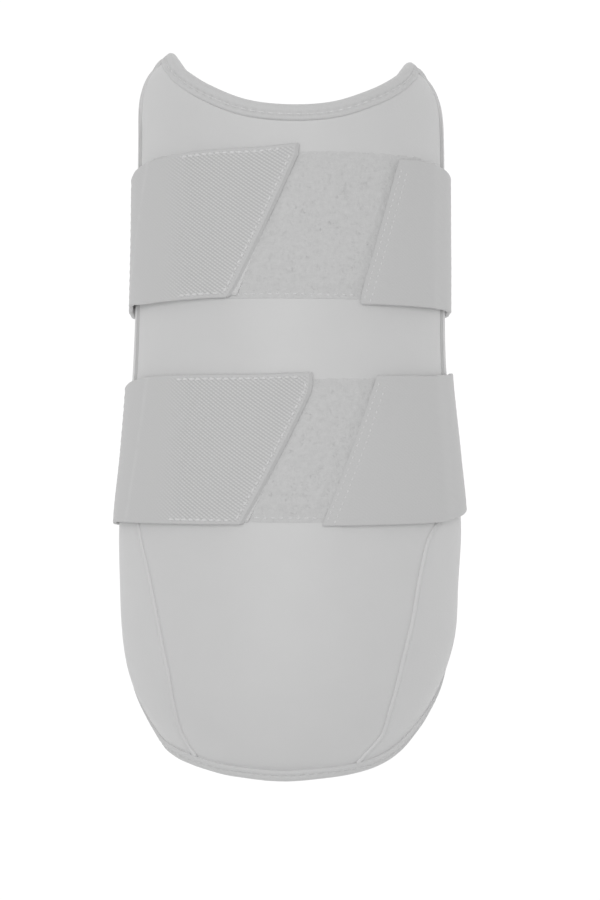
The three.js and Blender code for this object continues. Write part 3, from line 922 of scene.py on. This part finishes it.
def add_binding():
    """The folded tape swept round the outline. Its face ripples a little and puckers between stitches:
    the lift falls by a bell across the stitch row and a wave along it."""
    edge = Edge(BINDING_STEP)
    inset, lift = binding_profile()
    count = round(edge.total / BINDING_STITCH["pitch"])
    phase = edge.reached / edge.total * count
    pucker = BINDING_PUCKER["depth"] * (0.5 + 0.5 * np.cos(2 * np.pi * phase))
    sewn = bell(inset - BINDING_STITCH["inset"], BINDING_PUCKER["reach"])
    ripple = mottle(edge.reached / BINDING_RIPPLE["length"], 0 * edge.reached, seed=8)
    rise = BINDING_RIPPLE["height"] * ripple[:, None] - pucker[:, None] * sewn
    points = edge.place(inset, lift + np.where(lift > 0, rise, 0))
    index = np.arange(points[..., 0].size).reshape(points.shape[:2])
    index = np.concatenate([index, index[:1]])
    index = np.concatenate([index, index[:, :1]], axis=1)
    around = np.concatenate([[0], np.cumsum(np.hypot(np.diff(inset), np.diff(lift)))])
    flat = np.stack(np.broadcast_arrays(edge.reached[:, None], around), axis=-1).reshape(-1, 2)
    faces = [grid_faces(index)]
    add_piece("binding_tape", points.reshape(-1, 3), faces, BINDING, ["edge_binding"], flat)
    row = edge.place(BINDING_STITCH["inset"], BINDING_GAP + BINDING_STITCH["lift"])[:, 0]
    row = np.concatenate([row, row[:1]])
    outs = form_axes(edge.angle, edge.y)[2]
    outs = np.concatenate([outs, outs[:1]])
    points, faces = stitches(row, outs, {**BINDING_STITCH, "pitch": edge.total / count})
    add_piece("binding_stitches", points, faces, THREAD)


def thread_bars(starts, ends, outs, radius):
    """Bars of thread between pairs of points: tubes that rise from the cloth as the root of half a sine
    and narrow into it at both ends."""
    rings, sides = 7, 6
    stations = np.linspace(0, 1, rings)
    arch = np.sin(np.pi * stations)
    rise = radius * (STITCH_FORM["rise"] * arch**0.5 - STITCH_FORM["sunk"])
    centres = mix(starts[:, None], ends[:, None], stations[:, None]) + outs[:, None] * rise[:, None]
    girth = radius * mix(STITCH_FORM["least"], 1, arch ** STITCH_FORM["fullness"])
    return tubes(centres, outs[:, None], girth, sides)


def stitches(path, outs, seam):
    """Stitches along a path: one bar of the seam's length in the middle of each pitch."""
    reached = lengths(path)
    rounding = 0.01
    count = int(reached[-1] / seam["pitch"] + rounding)
    middle = (np.arange(count) + 0.5) * seam["pitch"]
    starts, ends = (along_path(path, reached, middle + half * seam["length"]) for half in (-0.5, 0.5))
    return thread_bars(starts, ends, unit(along_path(outs, reached, middle)), seam["radius"])


# Piping


def add_piping(name, node, sign):
    """The cord in a seam: a tube on the seam's line, from under the lower binding to under the upper."""
    rows = 340
    _, y = field(lambda y: seam_angle(sign, y), lambda y: seam_angle(sign, y), 1, rows)
    y = y[0]
    y = y[(y > y[0] + PIPING_TUCK) & (y < y[-1] - PIPING_TUCK)]
    angle = seam_angle(sign, y)
    centres = lifted(angle, y, -PIPING_DEPTH)
    radii = PIPING_RADIUS + PIPING_RIPPLE["height"] * mottle(y / PIPING_RIPPLE["length"], 0 * y, seed=11)
    points, faces = tubes(centres[None], form_axes(angle, y)[2][None], radii[None], sides=16)
    add_piece(name, points, faces, CORD, [node], sharp=60)


# Straps with their patches and hook tape


class Strap:
    """A strap's way round the arm, from the sewn end on the right, behind, to the closed end on the
    left. Places on it are a distance along the webbing, which is 0 where the closed end crosses the
    middle of the face, and a width up from the lower edge."""

    def __init__(self, name):
        self.name = name
        self.ends = STRAP_ENDS[name]
        samples = 3821
        self.angles = np.linspace(*STRAP_SPAN, samples)
        lift = ramp(STRAP_ROUTE, "angle", "lift", self.angles) + STRAP_THICKNESS / 2
        reached = lengths(lifted(self.angles, self.middle(self.angles), lift))
        self.reached = reached - np.interp(360, self.angles, reached)

    def middle(self, angle):
        """The y of the webbing's middle, which wanders on its way round."""
        return self.ends["y"] + ramp(STRAP_ROUTE, "angle", self.name, angle)

    def distance(self, angle):
        """The distance along the webbing at which its middle reaches an angle."""
        return np.interp(angle, self.angles, self.reached)

    def sewn_angle(self, up):
        """The angle of the sewn end at a share of the width."""
        x = mix(*self.ends["sewn"], up)
        return angle_at_x(x, self.ends["y"])

    def closed_angle(self, up, beyond=0.0):
        """The angle of the closed end at a share of the width, or of a line beyond it: a slanting line
        that runs straight up at the tip."""
        square = STRAP_WIDTH / (STRAP_WIDTH - self.ends["tip"])
        x = mix(*self.ends["closed"], np.minimum(up * square, 1)) + beyond
        return angle_at_x(x, self.ends["y"])

    def corner(self, width):
        """How far the lower corner of an end is rounded back at a width: a quarter circle."""
        radius = self.ends["corner"]
        return radius * (1 - np.sqrt(1 - np.clip(1 - width / radius, 0, 1) ** 2))

    def sewn_end(self, width):
        """The distance at which the webbing starts at a width."""
        return self.distance(self.sewn_angle(width / STRAP_WIDTH)) + self.corner(width)

    def closed_end(self, width):
        """The distance at which the webbing's face stops at a width."""
        return self.distance(360 + self.closed_angle(width / STRAP_WIDTH)) - self.corner(width)

    def level(self, angle, width):
        """The y at a width up the webbing, drawn in towards its two edges."""
        drawn = [curve(STRAP_NECK, "angle", f"{self.name}_{edge}", angle) for edge in ("low", "high")]
        return self.middle(angle) + width - STRAP_WIDTH / 2 + mix(*drawn, width / STRAP_WIDTH)

    def upright(self, end, width, height):
        """The distance at which an end stops at a height, so that its cut stands straight up."""
        out = self.outward(end, width)
        return end - height * out[..., 0] / out[..., 2]

    def place(self, distance, width, height):
        """Points at a height over the strap's underside, with both ends pressed thinner and down into
        the pile by an S."""
        angle = np.interp(distance, self.reached, self.angles)
        at_closed = 1 - smooth(self.closed_end(width) - distance, 0, END_PRESS["reach"])
        at_sewn = 1 - smooth(distance - self.sewn_end(width), 0, END_PRESS["reach"])
        height = height * (1 - END_PRESS["thin"] * (at_closed + at_sewn))
        press = END_PRESS["closed"] * at_closed + END_PRESS["sewn"] * at_sewn
        lift = ramp(STRAP_ROUTE, "angle", "lift", angle)
        press = press + STRAP_PRESS * smooth(lift, SEWN_END_LIFT, CLOSED_END_LIFT)
        return lifted(angle, self.level(angle, width), lift + height - press)

    def outward(self, distance, width):
        """Directions straight out of the strap."""
        angle = np.interp(distance, self.reached, self.angles)
        return form_axes(angle, self.level(angle, width))[2]

    def open_room(self, angle, y):
        """Distances over the face from a place to the closed end, on its left, and to the sewn end, on
        its right. They are negative under the webbing."""
        closed_up, sewn_up = ((y - self.middle(turn)) / STRAP_WIDTH + 0.5 for turn in (360 + angle, angle))
        degree = reach(angle, y)
        return (angle - self.closed_angle(closed_up)) * degree, (self.sewn_angle(sewn_up) - angle) * degree


def strap_profile():
    """Widths and heights round the webbing: up its outer face, round the upper edge, down its inner
    face and round the lower edge. The edges are quarter circles."""
    radius = STRAP_EDGE_RADIUS
    face_steps, edge_steps = 15, 3
    flat = radius + (STRAP_WIDTH - 2 * radius) * np.linspace(0, 1, face_steps + 1)
    turn = np.linspace(0, np.pi / 2, edge_steps + 1)[1:]
    low_width, low_height = radius - radius * np.sin(turn), radius - radius * np.cos(turn)
    face_width = np.concatenate([low_width[::-1], flat, STRAP_WIDTH - low_width])
    drop = np.concatenate([low_height[::-1], np.zeros(flat.size), low_height])
    width = np.concatenate([face_width, face_width[::-1]])
    height = np.concatenate([STRAP_THICKNESS - drop, drop[::-1]])
    return width, height


def rib_height(distance, width):
    """The twill's ribs, which keep a constant sum of the width and the slope's share of the distance:
    rounded ridges, a power of a half sine, that fade out at the selvedge and towards the sewn end."""
    phase = (width + distance * RIB_SLOPE) / RIB_PITCH
    ridge = np.abs(np.sin(np.pi * phase)) ** RIB_FULLNESS
    inside = np.minimum(width, STRAP_WIDTH - width)
    shown = mix(RIB_FADE["least"], 1, smooth(distance, RIB_FADE["start"], RIB_FADE["end"]))
    return RIB_HEIGHT * shown * (ridge - 1) * smooth(inside, SELVEDGE["start"], SELVEDGE["end"])


def webbing_rows(first, last, width):
    """The distance at which each row meets each profile point, and the vertex number there. Rows lie
    along the twill's ribs, a few to a rib. Those that run past an end stop at it and share its vertex."""
    rows_to_a_rib = 6
    begin, end = ((width + stop * RIB_SLOPE) / RIB_PITCH for stop in (first, last))
    rows = np.arange(np.floor(begin.min()) * rows_to_a_rib, np.ceil(end.max()) * rows_to_a_rib + 1)
    free = (rows[:, None] / rows_to_a_rib * RIB_PITCH - width) / RIB_SLOPE
    index = np.arange(free.size).reshape(free.shape)
    begun, ended = np.argmax(free >= first, axis=0) - 1, np.argmax(free >= last, axis=0)
    column = np.arange(width.size)
    index = np.where(free <= first, index[begun, column], index)
    index = np.where(free >= last, index[ended, column], index)
    return np.clip(free, first, last), index


def webbing_skin(index):
    """Triangles over the webbing, and over its two cut ends from the outer face to the inner. Those that
    shrink to a line, where rows stop at an end, are left out."""
    half = index.shape[1] // 2
    skin = [grid_faces(np.concatenate([index, index[:, :1]], axis=1))]
    for ring, order in ((index[0], 1), (index[-1], -1)):
        front, back = ring[:half], ring[:half - 1:-1]
        skin.append(grid_faces(np.stack([front, back], axis=1))[:, ::order])
    quads = np.concatenate(skin)
    triangles = np.concatenate([quads[:, [0, 1, 2]], quads[:, [0, 2, 3]]])
    distinct = (triangles != np.roll(triangles, 1, axis=1)).all(axis=1)
    return triangles[distinct]


def add_strap(strap):
    """The webbing as its profile carried round the arm. Its outer face bears the ribs, which fade out
    by an S towards both ends, and its closed end is cut at a slant."""
    width, height = strap_profile()
    first, last = (strap.upright(end(width), width, height) for end in (strap.sewn_end, strap.closed_end))
    last = last + CLOSED_CUT_SLANT * (1 - height / STRAP_THICKNESS)
    distance, index = webbing_rows(first, last, width)
    outer = height > STRAP_THICKNESS / 2
    to_end = np.minimum(distance - first, last - distance)
    ribs = np.where(outer, rib_height(distance, width) * smooth(to_end, 0, SELVEDGE["end"]), 0)
    points = strap.place(distance, width, height + ribs).reshape(-1, 3)
    flat = np.stack(np.broadcast_arrays(distance, width), axis=-1).reshape(-1, 2)
    used, faces = np.unique(webbing_skin(index), return_inverse=True)
    faces = [faces.reshape(-1, 3)]
    cut = np.searchsorted(used, np.concatenate([index[0], index[-1]]))
    name, node = f"{strap.name}_webbing", f"{strap.name}_strap"
    crease = strap.distance(360 + np.array(strap.ends["crease"])).tolist()
    closed = strap.distance(360 + strap.closed_angle(np.array([0.0, 1.0]))).tolist()
    finish = webbing_finish(f"white_{name}", crease, closed, strap.ends["tip"])
    add_piece(name, points[used], faces, finish, [node], flat[used], cut=cut)


def add_strap_stitches(strap):
    """Stitches: a row along the closed end, rows along both edges over the hook tape, and two staggered
    rows of short ones along the sewn end."""
    end_points, edge_points = 60, 80
    inset = STRAP_STITCH["inset"]
    low, high = inset, STRAP_WIDTH - inset
    up = np.linspace(low, high, end_points)
    askew = np.hypot(1, np.gradient(strap.closed_end(up), up))
    paths = [(strap.closed_end(up) - inset * askew, up)]
    start = strap.distance(360 + STRAP_STITCH["start"])
    for width in (low, high):
        run = np.linspace(start, strap.closed_end(width) - 2 * inset, edge_points)
        paths.append((run, width))
    rows = [(path, STRAP_STITCH) for path in paths]
    askew = np.hypot(1, np.gradient(strap.sewn_end(up), up))
    for k, sewn_inset in enumerate(SEWN_STITCH["insets"]):
        stagger = k * SEWN_STITCH["pitch"] / 2
        rows.append(((strap.sewn_end(up) + sewn_inset * askew, up - stagger), SEWN_STITCH))
    parts = []
    for (distance, width), seam in rows:
        path = strap.place(distance, width, STRAP_THICKNESS)
        parts.append(stitches(path, strap.outward(distance, width), seam))
    points, faces = joined(parts)
    add_piece(f"{strap.name}_strap_stitches", points, faces, THREAD)


def pile_top(strap, angle, y):
    """The height of the pile over the leather: thinner towards its edges, and pressed in under both ends
    of the strap, each by an S of the distance."""
    pressed = 0
    for end, room in zip(("closed", "sewn"), strap.open_room(angle, y)):
        pressed = pressed + PILE_PRESS[end] * (1 - smooth(room, 0, PILE_PRESS["reach"]))
    low, high = strap.ends["patch"]
    fullness = smooth(np.minimum(y - low, high - y), 0, PILE_EDGE["reach"])
    return (PATCH_TOP - pressed) * mix(PILE_EDGE["thin"], 1, fullness)


def add_patch(strap):
    """Loop pile on the face: a lumpy wall, thinner towards its edges and frayed along the upper one,
    whose open middle bears small loops."""
    across, up = shares(columns=240, rows=104)
    low, high = strap.ends["patch"]
    angle = mix(*PATCH_ANGLES, across)
    frayed = high + PILE_EDGE["fray"] * mottle(angle, 0 * angle, seed=27)
    angle, y = np.broadcast_arrays(angle, mix(low, frayed, up))
    degree = reach(angle, y)
    body = pile_top(strap, angle, y)
    lumps = sum(
        height * mottle(angle * degree / size, y / size, seed=21)
        for size, height in zip(PILE_LUMPS["size"], PILE_LUMPS["height"])
    )
    top = body * (1 + lumps / PATCH_TOP)
    parts = [wall(lifted(angle, y, top), form(angle, y)), loops(strap)]
    points, faces = joined(parts)
    add_piece(f"{strap.name}_pile", points, faces, PILE, [f"{strap.name}_loop_patch"], sharp=70)


def add_patch_stitches(strap):
    """A row of stitches along the pile's lower edge, from the closed end to the sewn one."""
    row_points = 60
    level = strap.ends["patch"][0] + PATCH_STITCH["inset"]
    up = (level - strap.ends["y"]) / STRAP_WIDTH + 0.5
    run = np.linspace(strap.closed_angle(up), strap.sewn_angle(up), row_points)
    path = lifted(run, level, pile_top(strap, run, level))
    points, faces = stitches(path, form_axes(run, level)[2], PATCH_STITCH)
    add_piece(f"{strap.name}_patch_stitches", points, faces, THREAD)


def loops(strap):
    """Small loops of the pile between the strap's two ends: arches of half a sine that lean at random,
    each a thin four-sided tube."""
    rings, sides = 5, 4
    rng = np.random.default_rng(PILE_LOOPS["seed"])
    tried, margin = PILE_LOOPS["tried"], PILE_LOOPS["margin"]
    low, high = strap.ends["patch"]
    angle = rng.uniform(*PILE_LOOPS["angles"], tried)
    y = rng.uniform(low + margin, high - margin, tried)
    shown = np.minimum(*strap.open_room(angle, y)) > -PILE_LOOPS["under"]
    angle, y = angle[shown], y[shown]
    count = angle.size
    heading = rng.uniform(0, 2 * np.pi, count)
    span, rise, lean = (rng.uniform(*PILE_LOOPS[name], count) for name in ("span", "rise", "lean"))
    around, along, out = form_axes(angle, y)
    direction = np.cos(heading)[:, None] * unit(around) + np.sin(heading)[:, None] * unit(along)
    sideways = np.cross(out, direction) * lean[:, None]
    stations = np.linspace(0, 1, rings)
    arch = np.sin(np.pi * stations)
    base = lifted(angle, y, pile_top(strap, angle, y) - PILE_LOOPS["sunk"])
    centres = (
        base[:, None]
        + direction[:, None] * ((stations - 0.5) * span[:, None])[..., None]
        + out[:, None] * (arch * rise[:, None])[..., None]
        + sideways[:, None] * arch[:, None]
    )
    return tubes(centres, out[:, None], PILE_LOOPS["radius"], sides)


def add_hook_tape(strap):
    """Hook tape under the closing end: a wall with a thinner border, from its rear end to just past the
    webbing's slanting edge, by an amount that falls with the square of the share of the width. It is
    pressed down there by an S of the distance to the edge."""
    columns, rows = 60, 60
    across, up = shares(columns, rows)
    width = mix(HOOK_MARGIN, STRAP_WIDTH - HOOK_MARGIN, up)
    share = width / STRAP_WIDTH
    low, high = strap.ends["peek"]
    front = strap.closed_angle(share, mix(high, low, (1 - share) ** 2))
    angle = mix(mix(*HOOK_BACK_ANGLES, up), front, across)
    y = strap.level(angle + 360, width)
    inner = np.minimum(across, 1 - across) * columns
    edge = np.clip(inner, 0, 1) * np.clip(np.minimum(up, 1 - up) * rows, 0, 1)
    to_end = (strap.closed_angle(share) - angle) * reach(angle, y)
    lift = HOOK_LIFT - HOOK_PRESS["end"] * (1 - smooth(to_end, 0, END_PRESS["reach"]))
    top = lift - HOOK_PRESS["top"] + HOOK_THICKNESS * mix(HOOK_BORDER, 1, edge)
    points, faces = wall(lifted(angle, y, top), lifted(angle, y, lift - HOOK_PRESS["bottom"]))
    flat = np.tile(np.stack([angle * reach(angle, y), y], axis=-1).reshape(-1, 2), (2, 1))
    name, node = f"{strap.name}_hooks", f"{strap.name}_hook_tape"
    add_piece(name, points, faces, HOOKS, [node], flat, sharp=50)


# Floor, light and camera


def add_floor():
    """A white table lit from within, wide enough to fill every view."""
    half, level = 6000.0, -0.4
    square = np.array([(-1, -1, 0), (1, -1, 0), (1, 1, 0), (-1, 1, 0)])
    corners = square * half + (0, 0, level)
    mesh = bpy.data.meshes.new("floor")
    mesh.from_pydata((corners * METRES).tolist(), [], [(0, 1, 2, 3)])
    material, shader, place, _ = new_finish("lit_table", Roughness=0.9, Emission_Strength=FLOOR_GLOW)
    shade(shader, place.noise(size=400), dark=0.04, light=0.05)
    shader.inputs["Emission Color"].default_value = grey(1.0)
    mesh.materials.append(material)
    floor = add_object("floor", mesh)


def add_light(name, place, aim, size, power):
    """A soft square light at a place, turned to an aim."""
    data = bpy.data.lights.new(name, "AREA")
    data.size = size * METRES
    data.energy = power
    light = add_object(name, data)
    place, aim = np.array(place) * METRES, np.array(aim) * METRES
    light.location = place
    light.rotation_euler = Vector(aim - place).to_track_quat("-Z", "Y").to_euler()


def add_studio():
    """Even white light all round, with a soft key from above."""
    world = bpy.data.worlds.new("studio")
    world.use_nodes = True
    background = world.node_tree.nodes["Background"]
    background.inputs["Color"].default_value = grey(1.0)
    background.inputs["Strength"].default_value = SKY_GLOW
    scene = bpy.context.scene
    scene.world = world
    scene.view_settings.view_transform = "Standard"
    add_light("key_light", **KEY_LIGHT)


def add_camera():
    """A camera that looks straight down, turned a little about its own axis."""
    data = bpy.data.cameras.new("camera")
    data.lens = CAMERA_LENS
    data.sensor_width = CAMERA_SENSOR
    data.sensor_fit = "AUTO"
    camera = add_object("camera", data)
    camera.location = np.array(CAMERA_PLACE) * METRES
    camera.rotation_euler = (0, 0, np.radians(CAMERA_ROLL))
    bpy.context.scene.camera = camera


add_panels()
add_foam()
add_binding()
add_piping("left_welt", "seam_piping_left", -1)
add_piping("right_welt", "seam_piping_right", 1)
for strap_name in STRAP_ENDS:
    strap = Strap(strap_name)
    add_patch(strap)
    add_patch_stitches(strap)
    add_hook_tape(strap)
    add_strap(strap)
    add_strap_stitches(strap)
add_floor()
add_studio()
add_camera()
